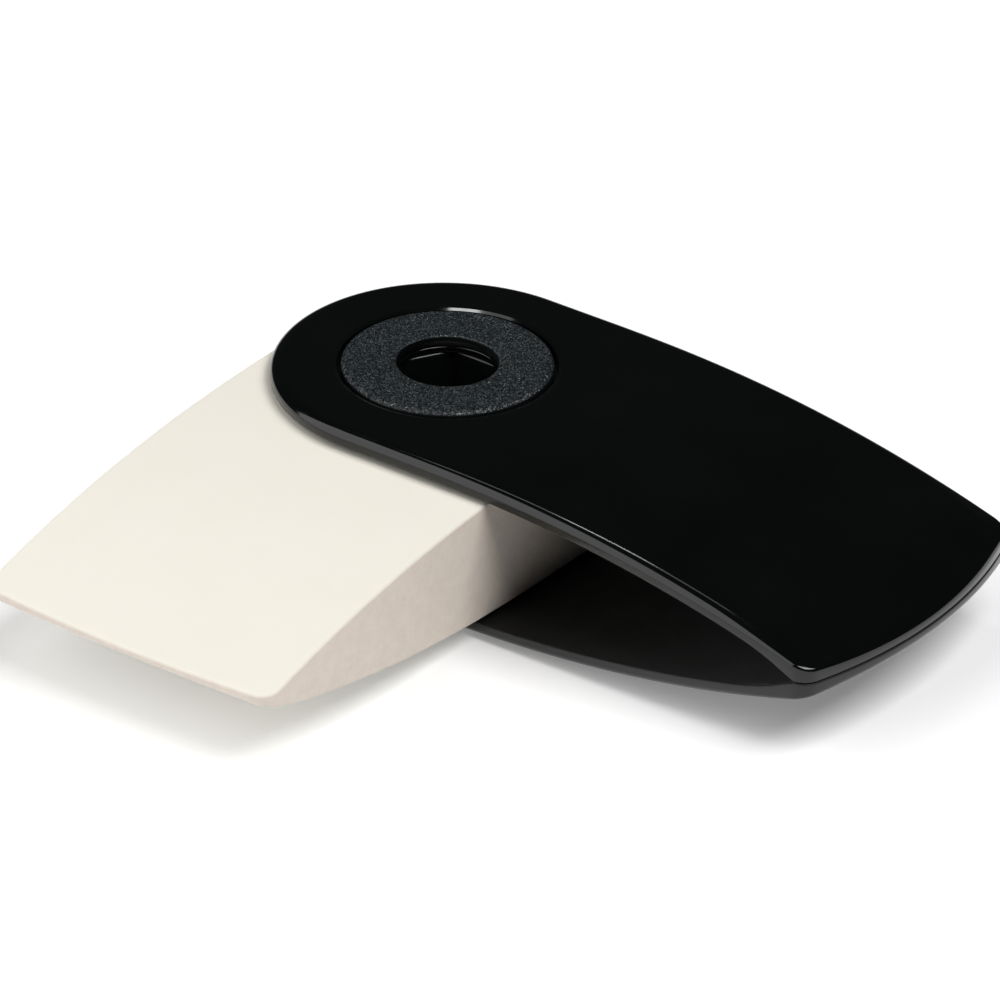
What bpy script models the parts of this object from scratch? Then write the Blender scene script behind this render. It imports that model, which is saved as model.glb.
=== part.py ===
"""Block eraser that swivels about a hollow hub between the two shells of a sleeve.

The sleeve lies along X with its round end at -X and its thin tail at +X. The hub stands
along Z, at the centre of the round end. The eraser is shown swung out, about a quarter turn.
"""
import math

import bmesh
import bpy
from mathutils import Vector

MM = 0.001

# Sleeve, seen from above: a round end about the hub, parallel sides and a bulged tail
SLEEVE_WIDTH = 32.2 * MM
TAIL_REACH = 53.3 * MM      # hub axis to the middle of the tail
TAIL_BULGE = 2.8 * MM       # middle of the tail past its corners
TAIL_CORNER = 2.0 * MM

# Shell, seen from the side: flat over the hub, then an arc down to the lip of the tail
SHELL_HEIGHT = 7.92 * MM    # parting plane to the flat top
SHELL_WALL = 1.44 * MM
TAPER_START = 12.8 * MM     # hub axis to the start of the arc
CROWN = 0.7                 # level lines of the arc: 0 straight across, 1 round the hub
EDGE_INSET = 1.3 * MM       # rounded top edge, across
EDGE_DROP = 0.85 * MM       # and down
TAIL_LIP = 0.37 * MM        # upright wall at the middle of the tail
TAIL_WALL = 0.95 * MM       # closed end of the tail, along the sleeve
SEAM = 0.2 * MM             # gap between the shells at the tail

# Grip rings, each in a recess of its shell
RING_RADIUS = 9.7 * MM
RING_THICKNESS = 1.0 * MM
RING_PROUD = 0.2 * MM       # ring above the shell's flat top
RING_SHOULDER = 0.35 * MM   # rounding of the outer edge
EYE_RADIUS = 4.66 * MM
EYE_ROUNDING = 0.15 * MM
RING_GAP = 0.4 * MM         # ring to the wall of its recess
SEAT_GAP = 0.1 * MM         # ring to the floor of its recess, and floor to hub

# Pegs under each ring, through the floor of the recess into the hub
PEG_COUNT = 3
PEG_RADIUS = 0.6 * MM
PEG_GRIP = 2.0 * MM         # length of a peg inside the hub
PEG_GAP = 0.15 * MM

# Hub, a tube with a six-sided bore
BORE_SIDES = 6
BORE_STEP = 0.38 * MM       # flats of the bore inside the ring's eye
HUB_WALL = 3.0 * MM         # at the corners of the bore
EYE_STEP = 0.2 * MM         # shell's eye wider than the ring's

# Eraser
ERASER_INSET = 0.15 * MM    # side of the sleeve to the side of the closed eraser
TIP_HEIGHT = 0.33 * MM      # half the thickness of the tip
TIP_BULGE = 0.63 * MM
TIP_CORNER = 1.75 * MM
TIP_RELIEF = 0.31 * MM      # extra clearance worked up towards the tip
ERASER_EDGE = 0.3 * MM      # rounding of the top and bottom edges
SWING_GAP = 0.27 * MM       # eraser to the shells as its corners pass under them
BORE_GAP = 0.25 * MM        # eraser to the hub
SWING = math.radians(-90.2)  # eraser from closed, as shown

# Fineness of the curves, in steps
END_STEPS = 14
SIDE_STEPS = 12
CORNER_STEPS = 4
TIP_STEPS = 7
EDGE_STEPS = 3
CROWN_STEPS = 3             # rings over the top, inside its rounded edge
ROUND_STEPS = 64
PEG_STEPS = 16
SMOOTH_ANGLE = math.radians(30)
SMALLEST_RADIUS = 0.2 * MM
CUT_MARGIN = 2.0 * MM       # cutters past the faces that they cut
MERGE_DISTANCE = 0.001 * MM

# Worked out from the above
HALF_WIDTH = SLEEVE_WIDTH / 2
TAIL_HEIGHT = SEAM / 2 + TAIL_LIP + EDGE_DROP
INNER_HEIGHT = SHELL_HEIGHT - SHELL_WALL
TAPER_DROP = SHELL_HEIGHT - TAIL_HEIGHT
TAPER_RADIUS = ((TAIL_REACH - TAPER_START) ** 2 + TAPER_DROP ** 2) / (2 * TAPER_DROP)
RING_TOP = SHELL_HEIGHT + RING_PROUD
RING_BOTTOM = RING_TOP - RING_THICKNESS
RECESS_FLOOR = RING_BOTTOM - SEAT_GAP
HUB_END = INNER_HEIGHT - SEAT_GAP
BORE_CORNER_RADIUS = (EYE_RADIUS - BORE_STEP) / math.cos(math.pi / BORE_SIDES)
HUB_RADIUS = BORE_CORNER_RADIUS + HUB_WALL
PEG_CIRCLE = BORE_CORNER_RADIUS + HUB_WALL / 2
ERASER_HALF_WIDTH = HALF_WIDTH - ERASER_INSET


def taper_drop(reach):
    """Fall of the shell's top below its flat part, along its middle."""
    run = max(reach - TAPER_START, 0.0)
    return TAPER_RADIUS - math.sqrt(TAPER_RADIUS ** 2 - run ** 2)


def taper_reach(drop):
    """Distance from the hub at which the shell's top has fallen by drop."""
    return TAPER_START + math.sqrt(2 * TAPER_RADIUS * drop - drop ** 2)


def shell_drop(x, y):
    """Fall of the shell's top below its flat part at any point of the sleeve."""
    return taper_drop(math.hypot(max(x, 0.0), CROWN * y))


# The tip's corners, swung under the shells, stop where the shells leave just enough height
TIP_SWEEP = taper_reach(INNER_HEIGHT - SWING_GAP - TIP_RELIEF - TIP_HEIGHT)
ERASER_REACH = math.sqrt(TIP_SWEEP ** 2 - ERASER_HALF_WIDTH ** 2)


def eraser_height(x):
    """Half thickness of the eraser: its sides clear the shells at the radius they sweep."""
    reach = max(x, 0.0)
    sweep = math.hypot(reach, ERASER_HALF_WIDTH)
    relief = TIP_RELIEF * (reach / ERASER_REACH) ** 2
    return INNER_HEIGHT - taper_drop(sweep) - SWING_GAP - relief


def arc(centre_x, centre_y, radius, start, end, steps):
    """Points along an arc, without its last one."""
    points = []
    for step in range(steps):
        angle = start + (end - start) * step / steps
        points.append((centre_x + radius * math.cos(angle), centre_y + radius * math.sin(angle)))
    return points


def half_outline(half_width, reach, bulge, corner, inset):
    """One side of a round-ended outline, from its rear to the middle of its bulged front."""
    width = half_width - inset
    front_radius = (bulge ** 2 + half_width ** 2) / (2 * bulge)
    front_centre = reach - front_radius
    front_radius -= inset
    corner = max(corner - inset, SMALLEST_RADIUS)
    corner_y = width - corner
    corner_x = front_centre + math.sqrt((front_radius - corner) ** 2 - corner_y ** 2)
    corner_end = math.atan2(corner_y, corner_x - front_centre)

    points = arc(0.0, 0.0, width, math.pi, math.pi / 2, END_STEPS)
    points += [(corner_x * step / SIDE_STEPS, width) for step in range(SIDE_STEPS)]
    points += arc(corner_x, corner_y, corner, math.pi / 2, corner_end, CORNER_STEPS)
    points += arc(front_centre, 0.0, front_radius, corner_end, 0.0, TIP_STEPS)
    points.append((front_centre + front_radius, 0.0))
    return points


def ring_points(side, height):
    """A closed ring from one side of an outline and its mirror image, at height(x, y)."""
    other = [(x, -y) for x, y in reversed(side[1:-1])]
    return [(x, y, height(x, y)) for x, y in side + other]


def loft_mesh(name, rings):
    """Skin over rings that run upwards, with the first and last closed by strips across."""
    shape = bmesh.new()
    layers = [[shape.verts.new(point) for point in ring] for ring in rings]
    count = len(layers[0])
    for lower, upper in zip(layers, layers[1:]):
        for here in range(count):
            after = (here + 1) % count
            shape.faces.new((lower[after], lower[here], upper[here], upper[after]))
    for layer, downwards in ((layers[0], True), (layers[-1], False)):
        for here in range(count // 2):
            across = [layer[here], layer[here + 1], layer[-here - 1], layer[-here]]
            strip = list(dict.fromkeys(across))
            shape.faces.new(reversed(strip) if downwards else strip)
    bmesh.ops.recalc_face_normals(shape, faces=shape.faces)
    mesh = bpy.data.meshes.new(name)
    shape.to_mesh(mesh)
    shape.free()
    return mesh


def edge_steps(inset, drop):
    """Insets and drops down a rounded edge, from its outer side to its top."""
    angles = [math.pi / 2 * step / EDGE_STEPS for step in range(EDGE_STEPS + 1)]
    return [(inset * (1 - math.cos(angle)), drop * (1 - math.sin(angle))) for angle in angles]


def crown_insets(half_width, edge):
    """Insets of rings from a rounded edge towards the middle, to carry the crown."""
    step = (half_width - edge) / (CROWN_STEPS + 1)
    return [edge + step * number for number in range(1, CROWN_STEPS + 1)]


def shell_mesh():
    """Shell before it is hollowed, solid down to the seam."""
    def side(inset):
        return half_outline(HALF_WIDTH, TAIL_REACH, TAIL_BULGE, TAIL_CORNER, inset)

    steps = edge_steps(EDGE_INSET, EDGE_DROP)
    steps += [(inset, 0.0) for inset in crown_insets(HALF_WIDTH, EDGE_INSET)]
    rings = [ring_points(side(0.0), lambda x, y: SEAM / 2)]
    for inset, drop in steps:
        rings.append(ring_points(side(inset), lambda x, y: SHELL_HEIGHT - shell_drop(x, y) - drop))
    return loft_mesh("shell", rings)


def cavity_mesh():
    """Room for the eraser in one shell, open along the sides and closed by the tail's wall."""
    half_width = HALF_WIDTH + CUT_MARGIN
    front_radius = (TAIL_BULGE ** 2 + HALF_WIDTH ** 2) / (2 * TAIL_BULGE) - TAIL_WALL
    bulge = front_radius - math.sqrt(front_radius ** 2 - half_width ** 2)

    def side(inset):
        return half_outline(half_width, TAIL_REACH - TAIL_WALL, bulge, SMALLEST_RADIUS, inset)

    rings = [ring_points(side(0.0), lambda x, y: -CUT_MARGIN)]
    for inset in (0.0, *crown_insets(half_width, 0.0)):
        rings.append(ring_points(side(inset), lambda x, y: INNER_HEIGHT - shell_drop(x, y)))
    return loft_mesh("cavity", rings)


def eraser_mesh():
    rings = []
    for inset, drop in edge_steps(ERASER_EDGE, ERASER_EDGE):
        side = half_outline(ERASER_HALF_WIDTH, ERASER_REACH, TIP_BULGE, TIP_CORNER, inset)
        rings.append(ring_points(side, lambda x, y: eraser_height(x) - drop))
    below = [[(x, y, -z) for x, y, z in ring] for ring in reversed(rings)]
    return loft_mesh("eraser_block", below + rings)


def plastic(name, colour, roughness):
    material = bpy.data.materials.new(name)
    material.use_nodes = True
    shader = material.node_tree.nodes["Principled BSDF"]
    shader.inputs["Base Color"].default_value = (*colour, 1.0)
    shader.inputs["Roughness"].default_value = roughness
    shader.inputs["Metallic"].default_value = 0.0
    material.diffuse_color = (*colour, 1.0)
    return material


def add_object(name, mesh, collection):
    new = bpy.data.objects.new(name, mesh)
    collection.objects.link(new)
    return new


def cylinder(name, radius, bottom, top, steps, collection, centre=(0.0, 0.0)):
    """Upright cylinder, or a prism for a small number of steps."""
    shape = bmesh.new()
    bmesh.ops.create_cone(shape, cap_ends=True, segments=steps, radius1=radius, radius2=radius,
                          depth=top - bottom)
    bmesh.ops.translate(shape, verts=shape.verts, vec=(*centre, (bottom + top) / 2))
    mesh = bpy.data.meshes.new(name)
    shape.to_mesh(mesh)
    shape.free()
    return add_object(name, mesh, collection)


def cut(target, tool, operation="DIFFERENCE"):
    tool.hide_render = True
    tool.display_type = "WIRE"
    boolean = target.modifiers.new(tool.name, "BOOLEAN")
    boolean.operation = operation
    boolean.solver = "EXACT"
    boolean.object = tool


def peg_tools(name, radius, bottom, top, collection):
    """Upright pegs, evenly spaced about the hub from the sleeve's own direction."""
    tools = []
    for number in range(PEG_COUNT):
        angle = 2 * math.pi * number / PEG_COUNT
        centre = (PEG_CIRCLE * math.cos(angle), PEG_CIRCLE * math.sin(angle))
        tools.append(cylinder(f"{name}_{number + 1}", radius, bottom, top, PEG_STEPS,
                              collection, centre))
    return tools


def grip_ring_mesh(tools):
    """Turned ring with a rounded shoulder, and its pegs underneath."""
    profile = [(EYE_RADIUS + EYE_ROUNDING, RING_TOP)]
    for inset, drop in reversed(edge_steps(RING_SHOULDER, RING_SHOULDER)):
        profile.append((RING_RADIUS - inset, RING_TOP - drop))
    profile.append((RING_RADIUS, RING_BOTTOM))
    profile.append((EYE_RADIUS, RING_BOTTOM))
    profile.append((EYE_RADIUS, RING_TOP - EYE_ROUNDING))
    mesh = bpy.data.meshes.new("grip_ring_profile")
    edges = [(point, (point + 1) % len(profile)) for point in range(len(profile))]
    mesh.from_pydata([(x, 0.0, z) for x, z in profile], edges, [])
    turned = add_object("grip_ring_profile", mesh, tools)
    screw = turned.modifiers.new("turn", "SCREW")
    screw.steps = ROUND_STEPS
    screw.render_steps = ROUND_STEPS
    screw.use_merge_vertices = True
    screw.merge_threshold = MERGE_DISTANCE
    peg_top = RING_BOTTOM + RING_THICKNESS / 2
    for tool in peg_tools("ring_peg", PEG_RADIUS, HUB_END - PEG_GRIP, peg_top, tools):
        cut(turned, tool, "UNION")
    bpy.context.view_layer.update()
    evaluated = turned.evaluated_get(bpy.context.evaluated_depsgraph_get())
    ring = bpy.data.meshes.new_from_object(evaluated)
    ring.name = "grip_ring"
    bpy.data.objects.remove(turned)
    return ring


def finish(part, material):
    part.data.materials.clear()
    part.data.materials.append(material)
    part.data.shade_smooth()
    part.data.set_sharp_from_angle(angle=SMOOTH_ANGLE)


def low_middle(parts):
    """Middle of the underside of the box around all the parts."""
    bpy.context.view_layer.update()
    graph = bpy.context.evaluated_depsgraph_get()
    corners = []
    for part in parts:
        evaluated = part.evaluated_get(graph)
        corners += [evaluated.matrix_world @ vertex.co for vertex in evaluated.data.vertices]
    low = [min(corner[axis] for corner in corners) for axis in range(3)]
    high = [max(corner[axis] for corner in corners) for axis in range(3)]
    return Vector(((low[0] + high[0]) / 2, (low[1] + high[1]) / 2, low[2]))


def main():
    for old in list(bpy.data.objects):
        bpy.data.objects.remove(old)
    parts = bpy.data.collections.new("swivel_eraser")
    tools = bpy.data.collections.new("cutters")
    for collection in (parts, tools):
        bpy.context.scene.collection.children.link(collection)

    black = plastic("black_gloss", (0.006, 0.007, 0.008), 0.12)
    grained = plastic("grained_grey", (0.018, 0.021, 0.027), 0.55)
    vinyl = plastic("white_vinyl", (0.86, 0.82, 0.74), 0.6)

    base = add_object("swivel_eraser_base", None, parts)
    swivel = add_object("eraser_swivel", None, parts)
    swivel.rotation_euler.z = SWING
    swivel.parent = base

    # Cutters that pass through the whole sleeve
    eye = cylinder("eye", EYE_RADIUS + EYE_STEP, -RING_TOP, RING_TOP, ROUND_STEPS, tools)
    through = INNER_HEIGHT + CUT_MARGIN
    peg_holes = peg_tools("peg_hole", PEG_RADIUS + PEG_GAP, -through, through, tools)

    # The lower shell and ring are the upper ones turned over about the sleeve's length
    shell_shape = shell_mesh()
    cavity_shape = cavity_mesh()
    ring_shape = grip_ring_mesh(tools)
    for level, turn in (("upper", 0.0), ("lower", math.pi)):
        shell = add_object(f"{level}_shell", shell_shape, parts)
        shell.rotation_euler.x = turn
        shell.parent = base
        cavity = add_object(f"{level}_cavity", cavity_shape, tools)
        recess = cylinder(f"{level}_recess", RING_RADIUS + RING_GAP, RECESS_FLOOR,
                          SHELL_HEIGHT + CUT_MARGIN, ROUND_STEPS, tools)
        for tool in (cavity, recess):
            tool.rotation_euler.x = turn
        for tool in (cavity, recess, eye, *peg_holes):
            cut(shell, tool)
        finish(shell, black)

        ring = add_object(f"{level}_grip_ring", ring_shape, parts)
        ring.rotation_euler.x = turn
        ring.parent = base
        finish(ring, grained)

    hub = cylinder("pivot_hub", HUB_RADIUS, -HUB_END, HUB_END, ROUND_STEPS, parts)
    hub.parent = base
    bore = cylinder("hub_bore", BORE_CORNER_RADIUS, -through, through, BORE_SIDES, tools)
    bore.rotation_euler.z = math.pi / BORE_SIDES    # a corner points along the sleeve
    cut(hub, bore)
    socket_floor = HUB_END - PEG_GRIP - PEG_GAP
    sockets = peg_tools("upper_socket", PEG_RADIUS + PEG_GAP, socket_floor, through, tools)
    sockets += peg_tools("lower_socket", PEG_RADIUS + PEG_GAP, -through, -socket_floor, tools)
    for tool in sockets:
        cut(hub, tool)
    finish(hub, black)

    eraser = add_object("eraser_block", eraser_mesh(), parts)
    eraser.parent = swivel
    cut(eraser, cylinder("eraser_bore", HUB_RADIUS + BORE_GAP, -through, through, ROUND_STEPS,
                         tools))
    finish(eraser, vinyl)

    # The finished object stands on the origin, in the middle of its box, and the tools follow
    shift = -low_middle([part for part in parts.objects if part.type == "MESH"])
    base.location = shift
    for tool in tools.objects:
        tool.location = shift
    bpy.context.view_layer.update()


main()
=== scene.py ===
"""Looks of a block eraser that swivels about a hollow hub out of a black gloss sleeve.

Each piece is modelled about the hub's axis, with the sleeve along X and the heights counted from
the plane where its two shells meet, and is then put in its place in the frame.
"""
import math

import bmesh
import bpy
from mathutils import Matrix, Vector


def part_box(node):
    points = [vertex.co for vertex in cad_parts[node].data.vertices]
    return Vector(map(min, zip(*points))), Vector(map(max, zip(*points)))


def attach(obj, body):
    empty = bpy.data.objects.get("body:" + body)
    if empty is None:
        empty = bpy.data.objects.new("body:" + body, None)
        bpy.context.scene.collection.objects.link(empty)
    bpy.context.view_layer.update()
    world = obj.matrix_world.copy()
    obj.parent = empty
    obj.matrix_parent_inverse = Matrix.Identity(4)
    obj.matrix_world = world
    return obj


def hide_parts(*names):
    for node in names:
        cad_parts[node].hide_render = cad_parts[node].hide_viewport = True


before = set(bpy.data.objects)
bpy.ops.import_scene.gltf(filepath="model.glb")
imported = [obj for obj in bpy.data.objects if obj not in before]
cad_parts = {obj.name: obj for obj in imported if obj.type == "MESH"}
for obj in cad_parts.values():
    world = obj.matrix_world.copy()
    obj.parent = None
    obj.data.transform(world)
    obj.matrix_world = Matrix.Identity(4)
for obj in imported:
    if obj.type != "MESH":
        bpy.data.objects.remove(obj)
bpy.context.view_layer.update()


# Sleeve: two shells of one shape, moulded in polished black plastic, the lower one turned over.
# Each is level round the hub and then arched down to the tail, with rounded edges and bevelled tail
# corners. A wall closes the tail to a fine seam, a recess takes the grip ring, and an eye opens to the hub.
MM = 0.001
hub_low, hub_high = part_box("pivot_hub")
shell_low, shell_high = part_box("upper_shell")
HUB_MIDDLE = (hub_low + hub_high) / 2
SLEEVE_HALF_WIDTH = HUB_MIDDLE.x - shell_low.x
TAIL_REACH = shell_high.x - HUB_MIDDLE.x
SHELL_TOP = shell_high.z - HUB_MIDDLE.z
HALF_SEAM = 0.06 * MM
SHELL_WALL = 1.44 * MM
SHELL_UNDER = SHELL_TOP - SHELL_WALL
TAIL_BULGE = 2.8 * MM
TAIL_CORNER = 2.0 * MM
TAIL_WALL = 0.95 * MM
TAIL_WALL_START = 42.0 * MM
TAIL_WALL_RUN = 7.4 * MM
TAIL_WALL_CURVE = 4
TAPER_START = 12.8 * MM
TAPER_DROP = 6.6 * MM
TAPER_RADIUS = ((TAIL_REACH - TAPER_START) ** 2 + TAPER_DROP ** 2) / (2 * TAPER_DROP)
CROWN = 0.7
EDGE_INSET = 1.3 * MM
EDGE_DROP = 0.85 * MM
EDGE_STEPS = 14
BEVEL = 1.95 * MM
BEVEL_SLOPE = 0.23
BEVEL_STEPS = 6
BEVEL_EDGE = 0.25 * MM
BEVEL_ALONG = (40.0 * MM, 50.0 * MM)
BEVEL_ASIDE = (12.0 * MM, 15.0 * MM)
LOWER_EDGE = 0.12 * MM
LOWER_LIP = LOWER_EDGE * 1.3
RECESS_RADIUS = 10.1 * MM
RECESS_FLOOR = 7.02 * MM
RECESS_RIM = 0.36 * MM
RECESS_RIM_DROP = 0.131 * MM
RECESS_RIM_SHARES = (0.0, 0.1, 0.9, 1.0)
SHELL_EYE = 4.6 * MM
SHELL_EYE_RIM = 0.1 * MM
INSIDE_DULLNESS = 0.5


def bend(middle_x, middle_y, radius, start, end, steps):
    """Points along an arc, without its last one."""
    turns = [start + (end - start) * step / steps for step in range(steps)]
    return [(middle_x + radius * math.cos(turn), middle_y + radius * math.sin(turn)) for turn in turns]


def round_ended(half_width, reach, bulge, corner, inset):
    """Outline from above: a round end about the hub, straight sides and a bulged front."""
    least_corner = 0.2 * MM
    side_steps = 48
    width = half_width - inset
    front_radius = (bulge ** 2 + half_width ** 2) / (2 * bulge)
    front_middle = reach - front_radius
    front_radius -= inset
    corner = max(corner - inset, least_corner)
    corner_y = width - corner
    corner_x = front_middle + math.sqrt((front_radius - corner) ** 2 - corner_y ** 2)
    corner_end = math.atan2(corner_y, corner_x - front_middle)
    side = bend(0.0, 0.0, width, math.pi, math.pi / 2, steps=48)
    side += [(corner_x * step / side_steps, width) for step in range(side_steps)]
    side += bend(corner_x, corner_y, corner, math.pi / 2, corner_end, steps=20)
    side += bend(front_middle, 0.0, front_radius, corner_end, 0.0, steps=24)
    side.append((front_middle + front_radius, 0.0))
    return side + [(x, -y) for x, y in reversed(side[1:-1])]


def circle(radius, rays):
    """Points on a circle about the hub, one on each ray."""
    return [(radius * math.cos(ray), radius * math.sin(ray)) for ray in rays]


def between(first, second, share):
    return first + (second - first) * share


def part_way(inner, outer, share):
    """Outline between two others that have the same number of points."""
    return [(between(a, c, share), between(b, d, share)) for (a, b), (c, d) in zip(inner, outer)]


def at_height(outline, height):
    return [(x, y, height) for x, y in outline]


def rounding(steps):
    """Shares of inset and drop down a quarter-round edge, from its flat top to its side."""
    turns = [math.pi / 2 * step / steps for step in range(steps + 1)]
    return [(1 - math.sin(turn), 1 - math.cos(turn)) for turn in turns]


def turned_edge(radius, height, rim, rise, rays, steps):
    """Rings over a quarter-round edge, from its flat face, set off by rim and rise, to its side."""
    return [at_height(circle(radius + rim * inset, rays), height + rise * drop)
            for inset, drop in rounding(steps)]


def flat_face(inner, outer, height, steps):
    """Rings over a level face, with one close to each end to keep it flat there."""
    close = 0.01
    shares = [close] + [step / steps for step in range(1, steps)] + [1 - close]
    return [at_height(part_way(inner, outer, share), height) for share in shares]


def skin(name, rings):
    """Closed mesh over rings of points, each joined to the next and the last to the first."""
    count = len(rings[0])
    shape = bmesh.new()
    layers = [[shape.verts.new(point) for point in ring] for ring in rings]
    for here, there in zip(layers, layers[1:] + layers[:1]):
        for step in range(count):
            after = (step + 1) % count
            shape.faces.new((here[step], here[after], there[after], there[step]))
    bmesh.ops.recalc_face_normals(shape, faces=shape.faces)
    mesh = bpy.data.meshes.new(name)
    shape.to_mesh(mesh)
    shape.free()
    return mesh


def arch_fall(x, y):
    """Fall of the arched shell below its level part."""
    run = max(math.hypot(max(x, 0.0), CROWN * y) - TAPER_START, 0.0)
    return TAPER_RADIUS - math.sqrt(TAPER_RADIUS ** 2 - run ** 2)


def share_of_way(value, start, run):
    return min(max((value - start) / run, 0.0), 1.0)


def ease(value, start, end):
    """Share from 0 to 1 as a value goes from start to end, level at both."""
    share = share_of_way(value, start, end - start)
    return share * share * (3 - 2 * share)


def shell_blank():
    """The shell before it is arched, with its top level all the way to the tail."""
    outline, further_in = [round_ended(SLEEVE_HALF_WIDTH, TAIL_REACH, TAIL_BULGE, TAIL_CORNER, inset)
                           for inset in (0.0, MM)]
    rays = [math.atan2(y, x) for x, y in outline]
    corner = [ease(x, *BEVEL_ALONG) * ease(abs(y), *BEVEL_ASIDE) for x, y in outline]
    wall = [share_of_way(x, TAIL_WALL_START, TAIL_WALL_RUN) ** TAIL_WALL_CURVE for x, y in outline]

    def drawn_in(insets):
        return [(between(x, a, inset / MM), between(y, b, inset / MM))
                for (x, y), (a, b), inset in zip(outline, further_in, insets)]

    def at_lip(outline, rise):
        """Heights along the lower edge, which drops to the seam under the tail's wall."""
        return [(x, y, between(SHELL_UNDER, HALF_SEAM + arch_fall(x, y), share) + rise)
                for (x, y), share in zip(outline, wall)]

    eye, recess, rim = [circle(radius, rays) for radius in
                        (SHELL_EYE + SHELL_EYE_RIM, RECESS_RADIUS, RECESS_RADIUS + RECESS_RIM)]
    rings = turned_edge(SHELL_EYE, SHELL_UNDER, SHELL_EYE_RIM, SHELL_EYE_RIM, rays, steps=3)
    rings += reversed(turned_edge(SHELL_EYE, RECESS_FLOOR, SHELL_EYE_RIM, -SHELL_EYE_RIM, rays, steps=3))
    rings += flat_face(eye, recess, RECESS_FLOOR, steps=4)
    rings.append(at_height(recess, RECESS_FLOOR))
    for share in RECESS_RIM_SHARES:
        rings.append(at_height(part_way(recess, rim, share), SHELL_TOP - RECESS_RIM_DROP * (1 - share)))
    top = drawn_in([between(EDGE_INSET, BEVEL, share) for share in corner])
    rings += flat_face(rim, top, SHELL_TOP, steps=26)

    bevel = [(between(BEVEL, BEVEL_EDGE, step / BEVEL_STEPS), 0.0) for step in range(BEVEL_STEPS)]
    bevel += [(BEVEL_EDGE * inset, BEVEL_EDGE * drop) for inset, drop in rounding(EDGE_STEPS - BEVEL_STEPS)]
    for (inset, drop), (bevel_inset, bevel_drop) in zip(rounding(EDGE_STEPS), bevel):
        bevel_drop += BEVEL_SLOPE * (BEVEL - bevel_inset)
        place = drawn_in([between(EDGE_INSET * inset, bevel_inset, share) for share in corner])
        rings.append([(x, y, SHELL_TOP - between(EDGE_DROP * drop, bevel_drop, share))
                      for (x, y), share in zip(place, corner)])
    for inset, drop in reversed(rounding(steps=4)):
        rings.append(at_lip(drawn_in([LOWER_EDGE * inset] * len(outline)), LOWER_EDGE * drop))

    inner = drawn_in([between(LOWER_LIP, TAIL_WALL, share) for share in wall])
    rings.append(at_lip(inner, 0.0))
    rings += flat_face(inner, eye, SHELL_UNDER, steps=20)
    return skin("shell_blank", rings)


def combined(tree, operation, first, second=None, kind="ShaderNodeMath"):
    """Result of a sum on one value or two, each an output of a node or a plain number."""
    node = tree.nodes.new(kind)
    node.operation = operation
    for socket, value in zip(node.inputs, (first, second)):
        if isinstance(value, bpy.types.NodeSocket):
            tree.links.new(value, socket)
        elif value is not None:
            socket.default_value = value
    return node.outputs[0]


def parts_of(tree, vector):
    """X, Y and Z of a vector."""
    split = tree.nodes.new("ShaderNodeSeparateXYZ")
    tree.links.new(vector, split.inputs[0])
    return split.outputs


def wedge_tree():
    """Node tree that bends a level blank into a wedge: an arc down from the hub to the thin end."""
    tree = bpy.data.node_groups.new("wedge", "GeometryNodeTree")
    tree.interface.new_socket("Blank", in_out="INPUT", socket_type="NodeSocketGeometry")
    for size in ("Taper Start", "Taper Radius", "Crown", "Side Reach", "Tip Relief", "Tip Reach"):
        tree.interface.new_socket(size, in_out="INPUT", socket_type="NodeSocketFloat")
    tree.interface.new_socket("Finish", in_out="INPUT", socket_type="NodeSocketMaterial")
    tree.interface.new_socket("Wedge", in_out="OUTPUT", socket_type="NodeSocketGeometry")
    given = tree.nodes.new("NodeGroupInput").outputs

    def sum_of(operation, first, second=None):
        return combined(tree, operation, first, second)

    x, y, z = parts_of(tree, tree.nodes.new("GeometryNodeInputPosition").outputs[0])
    ahead = sum_of("MAXIMUM", x, 0.0)
    aside = sum_of("ADD", sum_of("MULTIPLY", given["Crown"], sum_of("ABSOLUTE", y)), given["Side Reach"])
    sweep_squared = sum_of("ADD", sum_of("POWER", ahead, 2.0), sum_of("POWER", aside, 2.0))
    run = sum_of("MAXIMUM", sum_of("SUBTRACT", sum_of("SQRT", sweep_squared), given["Taper Start"]), 0.0)
    level = sum_of("SUBTRACT", sum_of("POWER", given["Taper Radius"], 2.0), sum_of("POWER", run, 2.0))
    fall = sum_of("SUBTRACT", given["Taper Radius"], sum_of("SQRT", level))
    along = sum_of("POWER", sum_of("DIVIDE", ahead, given["Tip Reach"]), 2.0)
    fall = sum_of("ADD", fall, sum_of("MULTIPLY", given["Tip Relief"], along))
    height = sum_of("SUBTRACT", sum_of("ABSOLUTE", z), fall)
    join = tree.nodes.new("ShaderNodeCombineXYZ")
    tree.links.new(x, join.inputs["X"])
    tree.links.new(y, join.inputs["Y"])
    tree.links.new(sum_of("MULTIPLY", height, sum_of("SIGN", z)), join.inputs["Z"])

    move = tree.nodes.new("GeometryNodeSetPosition")
    real = tree.nodes.new("GeometryNodeRealizeInstances")
    coat = tree.nodes.new("GeometryNodeSetMaterial")
    made = tree.nodes.new("NodeGroupOutput")
    tree.links.new(given["Blank"], move.inputs["Geometry"])
    tree.links.new(join.outputs[0], move.inputs["Position"])
    tree.links.new(move.outputs[0], real.inputs[0])
    tree.links.new(real.outputs[0], coat.inputs["Geometry"])
    tree.links.new(given["Finish"], coat.inputs["Material"])
    tree.links.new(coat.outputs[0], made.inputs[0])
    return tree


def new_piece(name, mesh):
    piece = bpy.data.objects.new(name, mesh)
    bpy.context.scene.collection.objects.link(piece)
    return piece


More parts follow.
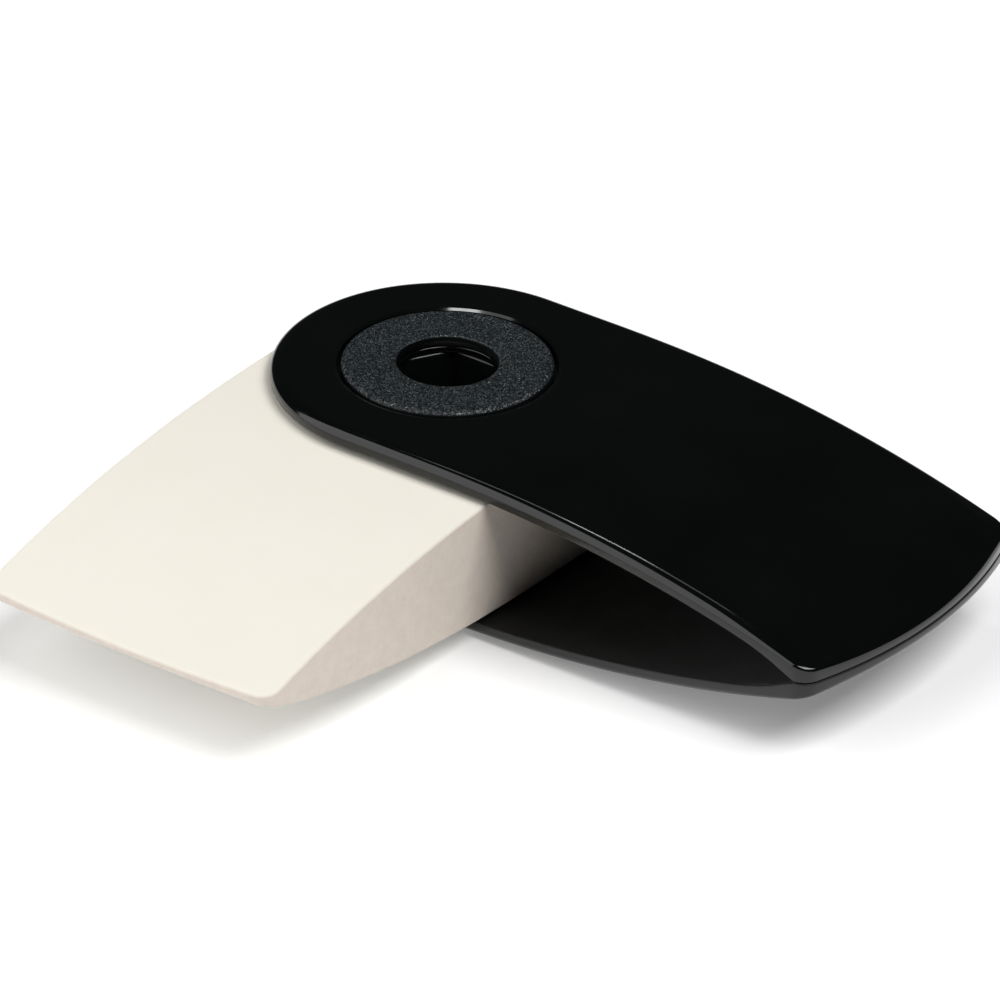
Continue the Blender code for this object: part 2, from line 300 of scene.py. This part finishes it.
def wedge(name, blank, sizes, finish, place):
    """Piece bent from a blank by the wedge tree, made a plain mesh and put in its place."""
    piece = new_piece(name, blank)
    nodes = piece.modifiers.new("wedge", "NODES")
    nodes.node_group = WEDGE
    for socket in WEDGE.interface.items_tree:
        if socket.in_out == "INPUT" and socket.name in sizes:
            nodes[socket.identifier] = sizes[socket.name]
        elif socket.name == "Finish":
            nodes[socket.identifier] = finish
    graph = bpy.context.evaluated_depsgraph_get()
    plain = bpy.data.meshes.new_from_object(piece.evaluated_get(graph))
    piece.modifiers.clear()
    piece.data = plain
    plain.name = name
    plain.transform(place)
    plain.shade_smooth()
    plain.set_sharp_from_angle(angle=math.radians(45))
    return piece


def new_finish(name):
    """Node material with its tree, its shader and the coordinates that its patterns follow."""
    finish = bpy.data.materials.new(name)
    finish.use_nodes = True
    nodes = finish.node_tree.nodes
    place = nodes.new("ShaderNodeTexCoord").outputs["Object"]
    return finish, finish.node_tree, nodes["Principled BSDF"], place


def cloudy(tree, place, scale, detail=2.0):
    """Soft random pattern, with its scale in patches per metre."""
    noise = tree.nodes.new("ShaderNodeTexNoise")
    noise.inputs["Scale"].default_value = scale
    noise.inputs["Detail"].default_value = detail
    tree.links.new(place, noise.inputs["Vector"])
    return noise.outputs["Fac"]


def spread(tree, pattern, low, high, start=0.3, end=0.7):
    """Values from low to high where a pattern goes from start to end."""
    span = tree.nodes.new("ShaderNodeMapRange")
    tree.links.new(pattern, span.inputs["Value"])
    for name, value in (("From Min", start), ("From Max", end), ("To Min", low), ("To Max", high)):
        span.inputs[name].default_value = value
    return span.outputs["Result"]


def colours(tree, pattern, stops):
    """Colours along a pattern, from (position, colour) stops."""
    ramp = tree.nodes.new("ShaderNodeValToRGB")
    tree.links.new(pattern, ramp.inputs["Fac"])
    while len(ramp.color_ramp.elements) < len(stops):
        ramp.color_ramp.elements.new(0.5)
    for element, (position, colour) in zip(ramp.color_ramp.elements, stops):
        element.position = position
        element.color = (*colour, 1.0)
    return ramp.outputs["Color"]


def relief(tree, pattern, depth, under=None):
    """Bump of a depth in metres, on top of another one where that is given."""
    bump = tree.nodes.new("ShaderNodeBump")
    bump.inputs["Distance"].default_value = depth
    tree.links.new(pattern, bump.inputs["Height"])
    if under is not None:
        tree.links.new(under, bump.inputs["Normal"])
    return bump.outputs["Normal"]


def true_rise(tree):
    """Height that the face itself points up by: 1 lying level, 0 standing upright, -1 face down."""
    return parts_of(tree, tree.nodes.new("ShaderNodeNewGeometry").outputs["True Normal"])["Z"]


def give_patterns(tree, shader, colour, roughness, surface):
    tree.links.new(colour, shader.inputs["Base Color"])
    tree.links.new(roughness, shader.inputs["Roughness"])
    tree.links.new(surface, shader.inputs["Normal"])


def polished_black():
    """Near-black gloss, with the faint unevenness of a polished mould, and dull inside the sleeve."""
    finish, tree, shader, place = new_finish("polished_black")
    tint = colours(tree, cloudy(tree, place, scale=90.0), [(0.3, (0.0012, 0.0019, 0.0016)),
                                                           (0.7, (0.002, 0.0028, 0.0024))])
    above = combined(tree, "SUBTRACT", parts_of(tree, place)["Z"], float(HUB_MIDDLE.z))
    outwards = combined(tree, "MULTIPLY", true_rise(tree), above)
    inside = spread(tree, outwards, low=1.0, high=0.0, start=-0.0002 * MM, end=0.0)
    gloss = spread(tree, cloudy(tree, place, scale=260.0, detail=4.0), low=0.06, high=0.12)
    gloss = combined(tree, "ADD", gloss, combined(tree, "MULTIPLY", inside, INSIDE_DULLNESS))
    ripple = relief(tree, cloudy(tree, place, scale=320.0), depth=0.002 * MM)
    give_patterns(tree, shader, tint, gloss, ripple)
    shader.inputs["IOR"].default_value = 1.5
    return finish


WEDGE = wedge_tree()
shell_sizes = {"Taper Start": TAPER_START, "Taper Radius": TAPER_RADIUS, "Crown": CROWN,
               "Side Reach": 0.0, "Tip Relief": 0.0, "Tip Reach": TAIL_REACH}
shell_shape = shell_blank()
black_gloss = polished_black()
UPRIGHT = Matrix.Translation(HUB_MIDDLE)
TURNED_OVER = UPRIGHT @ Matrix.Rotation(math.pi, 4, "X")
for level, place in (("lower", TURNED_OVER), ("upper", UPRIGHT)):
    shell = wedge(f"sleeve_shell_{level}", shell_shape, shell_sizes, black_gloss, place)
    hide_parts(f"{level}_shell")
    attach(shell, "sleeve")


# Hub: a short tube of black plastic between the shells, which the eraser turns on.
# Its bore has six flats, with the edge at each end broken, and is seen through the eye.
HUB_RADIUS = (hub_high.x - hub_low.x) / 2
HUB_END = hub_high.z - HUB_MIDDLE.z
BORE_FLAT = 4.44 * MM
BORE_RIM = 0.22 * MM
HUB_RIM = 0.2 * MM
HUB_SIDES = 240
HUB_RAYS = [math.radians(360 / HUB_SIDES) * number for number in range(HUB_SIDES)]


def six_sided(flat):
    """Six-sided outline with a corner along the sleeve, one point on each of the hub's rays."""
    third = math.pi / 3
    lengths = [flat / math.cos(ray % third - third / 2) for ray in HUB_RAYS]
    return [(length * math.cos(ray), length * math.sin(ray)) for length, ray in zip(lengths, HUB_RAYS)]


def with_underside(rings):
    """Rings of an upper half, followed by those of the lower half that mirrors it."""
    return rings + [[(x, y, -z) for x, y, z in ring] for ring in reversed(rings)]


def hub_shape():
    upper = []
    for inset, drop in reversed(rounding(steps=4)):
        upper.append(at_height(six_sided(BORE_FLAT + BORE_RIM * inset), HUB_END - BORE_RIM * drop))
    inner = six_sided(BORE_FLAT + BORE_RIM)
    outer = circle(HUB_RADIUS - HUB_RIM, HUB_RAYS)
    upper += flat_face(inner, outer, HUB_END, steps=4)
    upper += turned_edge(HUB_RADIUS, HUB_END, -HUB_RIM, -HUB_RIM, HUB_RAYS, steps=4)
    return skin("hub_tube", with_underside(upper))


def plain_black():
    """Black moulding with a duller face than the sleeve's, and faint lines from its core pin."""
    finish, tree, shader, place = new_finish("plain_black")
    tint = colours(tree, cloudy(tree, place, scale=150.0), [(0.3, (0.002, 0.0025, 0.0027)),
                                                            (0.7, (0.0035, 0.004, 0.0042))])
    gloss = spread(tree, cloudy(tree, place, scale=500.0, detail=3.0), low=0.18, high=0.3)
    lines = relief(tree, cloudy(tree, place, scale=900.0), depth=0.003 * MM)
    give_patterns(tree, shader, tint, gloss, lines)
    shader.inputs["IOR"].default_value = 1.5
    return finish


hub = new_piece("hub_tube", hub_shape())
hub.data.materials.append(plain_black())
hub.data.transform(UPRIGHT)
hub.data.shade_smooth()
hub.data.set_sharp_from_angle(angle=math.radians(40))
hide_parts("pivot_hub")
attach(hub, "sleeve")


# Eraser: a block of soft cream vinyl, moulded with a hole for the hub and swung out of the sleeve.
# Its faces fall to a thin, slightly bulged tip, low enough at the sides to pass under the shells.
# The flat faces are smooth and matt, and the upright ones warmer and finely pitted, with painted shade making
# them darker too.
SIDE_CLEARANCE = 0.15 * MM
TOP_CLEARANCE = 0.27 * MM
BORE_CLEARANCE = 0.25 * MM
TIP_CLEARANCE = 0.002 * MM
ERASER_HALF_WIDTH = SLEEVE_HALF_WIDTH - SIDE_CLEARANCE
ERASER_TOP = SHELL_UNDER - TOP_CLEARANCE
ERASER_BORE = HUB_RADIUS + BORE_CLEARANCE
ERASER_EDGE = 0.3 * MM
TIP_HEIGHT = 0.33 * MM
TIP_RELIEF = 0.31 * MM
TIP_BULGE = 0.63 * MM
TIP_CORNER = 1.75 * MM
SWING = math.radians(-90.2)
tip_fall = ERASER_TOP - TIP_RELIEF - TIP_HEIGHT
tip_sweep = TAPER_START + math.sqrt(2 * TAPER_RADIUS * tip_fall - tip_fall ** 2)
ERASER_REACH = math.sqrt(tip_sweep ** 2 - ERASER_HALF_WIDTH ** 2) - TIP_CLEARANCE


def eraser_blank():
    """The block before its faces are bent down to the tip."""
    def edge(inset):
        return round_ended(ERASER_HALF_WIDTH, ERASER_REACH, TIP_BULGE, TIP_CORNER, inset)

    bore = circle(ERASER_BORE, [math.atan2(y, x) for x, y in edge(0.0)])
    upper = [at_height(bore, ERASER_TOP)]
    upper += flat_face(bore, edge(ERASER_EDGE), ERASER_TOP, steps=26)
    for inset, drop in rounding(steps=8):
        upper.append(at_height(edge(ERASER_EDGE * inset), ERASER_TOP - ERASER_EDGE * drop))
    return skin("eraser_blank", with_underside(upper))


def cells(tree, place, scale):
    """Random cells, so many to the metre, with their own colours and the distance from their middles."""
    voronoi = tree.nodes.new("ShaderNodeTexVoronoi")
    voronoi.inputs["Scale"].default_value = scale
    tree.links.new(place, voronoi.inputs["Vector"])
    return voronoi.outputs


def blended(tree, share, first, second):
    """Colour that goes from the first to the second as a share goes from 0 to 1."""
    mix = tree.nodes.new("ShaderNodeMix")
    mix.data_type = "RGBA"
    tree.links.new(share, mix.inputs["Factor"])
    from_colour, to_colour = [socket for socket in mix.inputs if socket.type == "RGBA"]
    tree.links.new(first, from_colour)
    tree.links.new(second, to_colour)
    return next(socket for socket in mix.outputs if socket.type == "RGBA")


def cream_vinyl():
    """Soft matt vinyl: even and pale on the faces, warmer and pitted on the upright sides, which also carry
    painted shade that makes them darker.
    """
    finish, tree, shader, place = new_finish("cream_vinyl")
    level = combined(tree, "ABSOLUTE", true_rise(tree))
    upright = spread(tree, level, low=1.0, high=0.0, start=0.35, end=0.8)
    face = colours(tree, cloudy(tree, place, scale=120.0, detail=3.0), [(0.3, (0.868, 0.833, 0.742)),
                                                                        (0.7, (0.885, 0.850, 0.761))])
    # The sides' colour is warmer than the faces' and also darker, as painted shade.
    side = colours(tree, cloudy(tree, place, scale=900.0, detail=4.0), [(0.3, (0.772, 0.686, 0.606)),
                                                                        (0.7, (0.824, 0.736, 0.652))])
    tint = blended(tree, upright, face, side)
    matt = spread(tree, cloudy(tree, place, scale=400.0, detail=3.0), low=0.55, high=0.68)
    soft = relief(tree, cloudy(tree, place, scale=700.0, detail=3.0), depth=0.006 * MM)
    pits = cells(tree, place, scale=2600.0)
    pits = spread(tree, pits["Distance"], low=0.0, high=1.0, start=0.05, end=0.4)
    pitted = relief(tree, combined(tree, "MULTIPLY", pits, upright), depth=0.02 * MM, under=soft)
    give_patterns(tree, shader, tint, matt, pitted)
    shader.inputs["IOR"].default_value = 1.45
    shader.inputs["Specular IOR Level"].default_value = 0.25
    return finish


eraser_sizes = {"Taper Start": TAPER_START, "Taper Radius": TAPER_RADIUS, "Crown": 0.0,
                "Side Reach": ERASER_HALF_WIDTH, "Tip Relief": TIP_RELIEF, "Tip Reach": ERASER_REACH}
SWUNG_OUT = UPRIGHT @ Matrix.Rotation(SWING, 4, "Z")
eraser = wedge("eraser_of_vinyl", eraser_blank(), eraser_sizes, cream_vinyl(), SWUNG_OUT)
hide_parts("eraser_block")
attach(eraser, "eraser")


# Grip rings: one in the recess of each shell, pegged through it to the hub, standing just proud.
# Moulded in dark grey plastic in a spark-eroded mould, which leaves a fine grain of tiny facets; its
# brightest cells carry painted glints in their colour.
ring_low, ring_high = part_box("upper_grip_ring")
RING_RADIUS = (ring_high.x - ring_low.x) / 2
RING_THICKNESS = 1.0 * MM
RING_TOP = ring_high.z - HUB_MIDDLE.z
RING_BOTTOM = RING_TOP - RING_THICKNESS
RING_SHOULDER = 0.45 * MM
RING_FOOT = 0.1 * MM
EYE_RADIUS = 4.66 * MM
EYE_RIM = 0.18 * MM
RING_SIDES = 256
RING_RAYS = [2 * math.pi * number / RING_SIDES for number in range(RING_SIDES)]
SPARK_LEAN = 0.9


def grip_ring_shape(name):
    face_inside, face_outside, foot, eye = [circle(radius, RING_RAYS) for radius in (
        EYE_RADIUS + EYE_RIM, RING_RADIUS - RING_SHOULDER, RING_RADIUS - RING_FOOT, EYE_RADIUS)]
    rings = turned_edge(EYE_RADIUS, RING_TOP, EYE_RIM, -EYE_RIM, RING_RAYS, steps=5)[::-1]
    rings += flat_face(face_inside, face_outside, RING_TOP, steps=6)
    rings += turned_edge(RING_RADIUS, RING_TOP, -RING_SHOULDER, -RING_SHOULDER, RING_RAYS, steps=8)
    rings += reversed(turned_edge(RING_RADIUS, RING_BOTTOM, -RING_FOOT, RING_FOOT, RING_RAYS, steps=3))
    rings += flat_face(foot, eye, RING_BOTTOM, steps=3)
    rings.append(at_height(eye, RING_BOTTOM))
    return skin(name, rings)


def sparked_grey():
    """Dark grey plastic with the grain of a spark-eroded mould: tiny facets, each leaning its own way, the
    brightest cells coloured as painted glints.
    """
    finish, tree, shader, place = new_finish("sparked_grey")
    grained = spread(tree, combined(tree, "ABSOLUTE", true_rise(tree)), low=0.0, high=1.0, start=0.2, end=0.5)
    sparks = cells(tree, place, scale=11000.0)["Color"]
    grain_and_painted_glint = combined(tree, "MULTIPLY", parts_of(tree, sparks)["X"], grained)
    # Random tone per cell, with its brightest stop a painted glint; upright faces take only the darkest tint.
    tint = colours(tree, grain_and_painted_glint, [(0.0, (0.002, 0.003, 0.0034)), (0.65, (0.0088, 0.0124, 0.0142)),
                                 (1.0, (0.075, 0.092, 0.099))])
    gloss = spread(tree, grain_and_painted_glint, low=0.4, high=0.22, start=0.0, end=1.0)

    def vector_sum(operation, first, second=None):
        return combined(tree, operation, first, second, kind="ShaderNodeVectorMath")

    lean = vector_sum("SUBTRACT", sparks, (0.5, 0.5, 0.5))
    lean = vector_sum("MULTIPLY", lean, combined(tree, "MULTIPLY", grained, SPARK_LEAN))
    smooth = tree.nodes.new("ShaderNodeNewGeometry").outputs["Normal"]
    faceted = vector_sum("NORMALIZE", vector_sum("ADD", smooth, lean))
    give_patterns(tree, shader, tint, gloss, faceted)
    shader.inputs["IOR"].default_value = 1.5
    return finish


grained_grey = sparked_grey()
for level, place in (("lower", TURNED_OVER), ("upper", UPRIGHT)):
    ring = new_piece(f"grip_ring_{level}", grip_ring_shape(f"grip_ring_{level}"))
    ring.data.materials.append(grained_grey)
    ring.data.transform(place)
    ring.data.shade_smooth()
    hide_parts(f"{level}_grip_ring")
    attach(ring, "sleeve")


# Floor: a wide sheet of white paper that the sleeve lies on, fibrous and matt.
# It is lifted to a clean white where it is seen, directly or mirrored, and still takes the shadow.
FLOOR_HALF_WIDTH = 3.0
floor_shape = bmesh.new()
bmesh.ops.create_grid(floor_shape, x_segments=1, y_segments=1, size=FLOOR_HALF_WIDTH)
floor_mesh = bpy.data.meshes.new("paper_floor")
floor_shape.to_mesh(floor_mesh)
floor_shape.free()
floor = new_piece("paper_floor", floor_mesh)
paper, paper_tree, paper_shader, paper_place = new_finish("white_paper")
fibres = colours(paper_tree, cloudy(paper_tree, paper_place, scale=40.0), [(0.3, (0.955, 0.955, 0.955)),
                                                                          (0.7, (0.965, 0.965, 0.965))])
paper_tree.links.new(fibres, paper_shader.inputs["Base Color"])
paper_shader.inputs["Roughness"].default_value = 0.9
paper_shader.inputs["Specular IOR Level"].default_value = 0.1
paper_shader.inputs["Emission Color"].default_value = (1.0, 1.0, 1.0, 1.0)
rays_cast = paper_tree.nodes.new("ShaderNodeLightPath").outputs
seen = rays_cast["Is Camera Ray"]
for ray in ("Is Glossy Ray", "Is Transmission Ray"):
    seen = combined(paper_tree, "MAXIMUM", seen, rays_cast[ray])
lift = spread(paper_tree, seen, low=0.0, high=0.2, start=0.0, end=1.0)
paper_tree.links.new(lift, paper_shader.inputs["Emission Strength"])
floor.data.materials.append(paper)


# Light: a key softbox overhead on the right and a large, weaker one on the left light the object.
# A strip and a small lamp above draw the fine lines along the shell's near edge and its recess.
# The studio round them is dim, so that the black gloss has little to mirror.
def softbox(name, towards, along, width, height, power):
    """Lamp a metre off in a direction from the part, facing it, with its width along another."""
    lamp = bpy.data.lights.new(name, "AREA")
    lamp.shape = "RECTANGLE"
    lamp.size = width
    lamp.size_y = height
    lamp.energy = power
    stand = bpy.data.objects.new(name, lamp)
    back = Vector(towards).normalized()
    up = back.cross(Vector(along)).normalized()
    facing = Matrix((up.cross(back), up, back)).transposed().to_4x4()
    stand.matrix_world = Matrix.Translation(back) @ facing
    bpy.context.scene.collection.objects.link(stand)


softbox("softbox_key", towards=(0.5, -0.02, 0.866), along=(0.0, 1.0, 0.0),
        width=0.68, height=0.5, power=7.7)
softbox("softbox_left", towards=(-0.53, -0.63, 0.57), along=(0.77, -0.64, 0.0),
        width=1.18, height=1.3, power=8.0)
softbox("strip_above", towards=(-0.3, 0.267, 0.915), along=(0.43, -0.03, 0.13),
        width=0.46, height=0.075, power=0.19)
softbox("lamp_above", towards=(-0.293, 0.28, 0.911), along=(0.9, 0.41, 0.15),
        width=0.135, height=0.045, power=0.22)

STUDIO_GREY = (0.025, 0.025, 0.025, 1.0)
studio = bpy.data.worlds.new("dim_studio")
studio.use_nodes = True
bpy.context.scene.world = studio
studio.node_tree.nodes["Background"].inputs["Color"].default_value = STUDIO_GREY


# Camera: a long lens from the eraser's side of the sleeve, looking down on it by about 30 degrees.
# It is rolled by about a degree, and aims at a point between the hub and the near edge of the sleeve.
VIEW_TURN = math.radians(35.64)
VIEW_DOWN = math.radians(29.89)
VIEW_ROLL = math.radians(1.10)
VIEW_DISTANCE = 0.77035
VIEW_AIM = HUB_MIDDLE + Vector((5.638, 0.683, -4.749)) * MM
FOCAL_LENGTH = 304.67
SENSOR_WIDTH = 36.0
lens = bpy.data.cameras.new("long_lens")
lens.lens = FOCAL_LENGTH
lens.sensor_width = SENSOR_WIDTH
camera = bpy.data.objects.new("long_lens", lens)
turned = Matrix.Rotation(VIEW_TURN, 4, "Z") @ Matrix.Rotation(math.pi / 2 - VIEW_DOWN, 4, "X")
turned = turned @ Matrix.Rotation(VIEW_ROLL, 4, "Z")
camera.matrix_world = Matrix.Translation(VIEW_AIM) @ turned @ Matrix.Translation((0.0, 0.0, VIEW_DISTANCE))
bpy.context.scene.collection.objects.link(camera)
bpy.context.scene.camera = camera
bpy.context.scene.view_settings.view_transform = "Standard"
